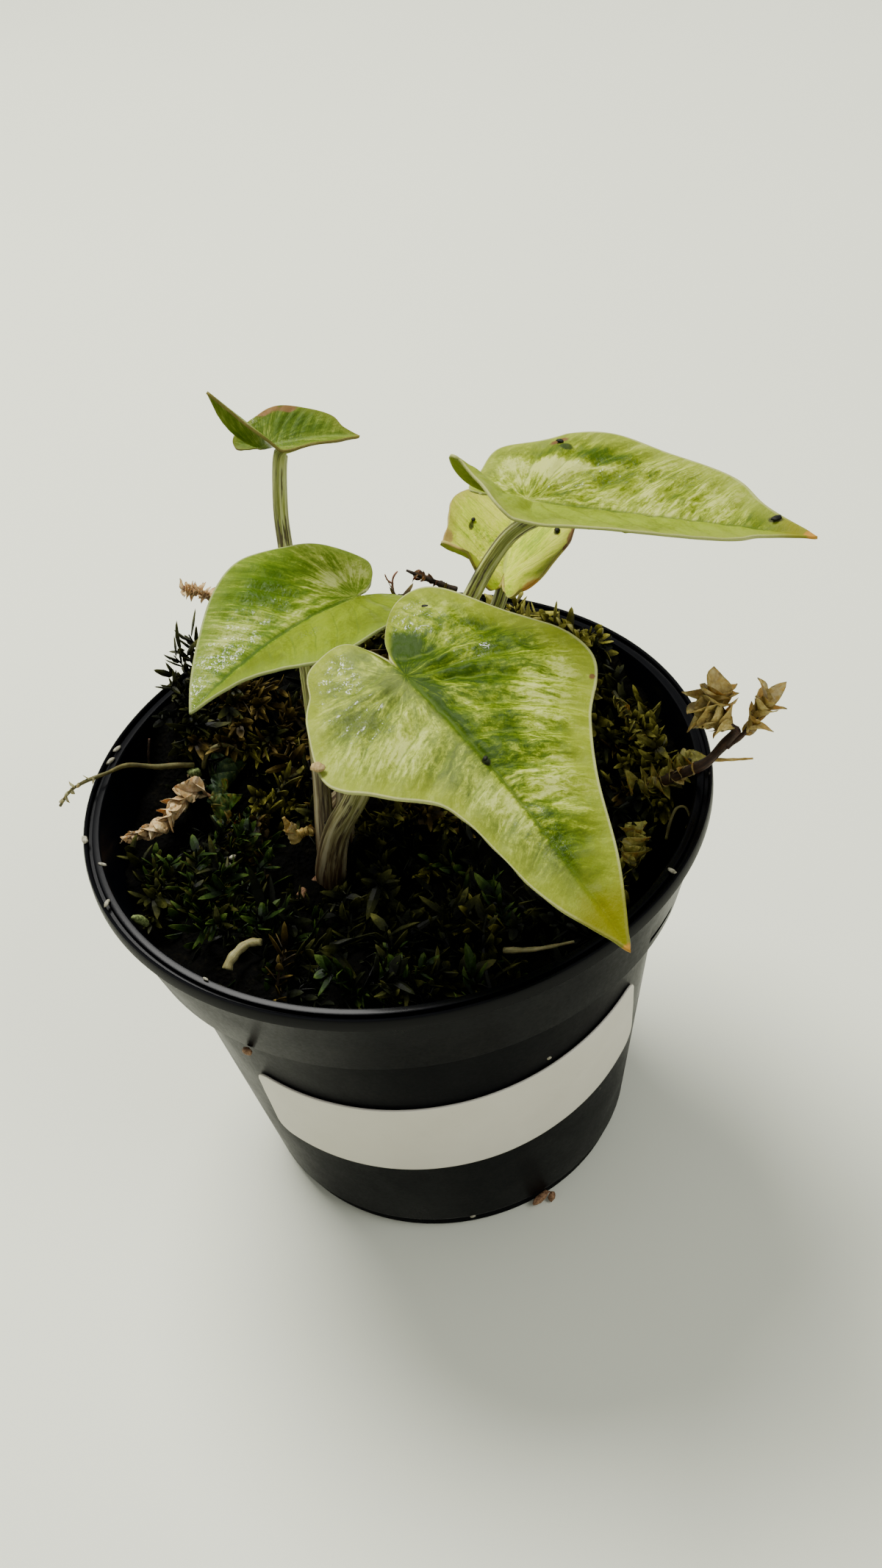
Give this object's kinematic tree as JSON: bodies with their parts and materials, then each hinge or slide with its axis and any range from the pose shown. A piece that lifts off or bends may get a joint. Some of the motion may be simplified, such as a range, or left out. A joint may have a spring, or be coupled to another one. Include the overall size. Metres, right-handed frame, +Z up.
{
  "type": "potted variegated corazon alocasia",
  "caption": "Young variegated aroid with heart-shaped cream and green leaves on slim petioles, in moss in a small black nursery pot with a bare label.",
  "frame": {"origin": "centre of the pot's underside, on the surface it stands on", "axes": "+Z up, +X to the right and -Y towards the front, where the label and the largest leaf are"},
  "size_m": [0.0858, 0.0809, 0.0961],
  "materials": {
    "pot": "thin black moulded plastic, satin, with faint scuffs and dust",
    "label": "off-white matte coated paper, bare",
    "moss": "dark damp moss, olive, brown and green strands",
    "corm": "brown fibrous rootstock",
    "leaf": "glossy puckered leaf, cream and green marbling with a pale edge",
    "old_leaf": "ageing leaf, yellow-green with orange and brown edges",
    "petiole": "pale green-tan stem with brown streaks",
    "dry_sprig": "dry papery tan moss scales",
    "strand": "thin olive-brown moss strand",
    "straw": "pale dry stalk",
    "twig": "dark brown twig"
  },
  "bodies": {
    "root": {"pot": "pot", "label": "label", "moss_bed": "moss", "corm": "corm", "leaf_front": "leaf", "leaf_left": "leaf", "leaf_back_left": "leaf", "leaf_right": "leaf", "leaf_small_right": "old_leaf", "petiole_front": "petiole", "petiole_left": "petiole", "petiole_back_left": "petiole", "petiole_right": "petiole", "petiole_small_right": "petiole", "dry_sprig_left": "dry_sprig", "dry_sprig_right": "dry_sprig", "trailing_strand_left": "strand", "curled_strand": "strand", "tan_sprout": "dry_sprig", "pale_stalk": "straw", "straw_front": "straw", "twig_back": "twig", "seed_head_back": "dry_sprig"}
  },
  "joints": []
}
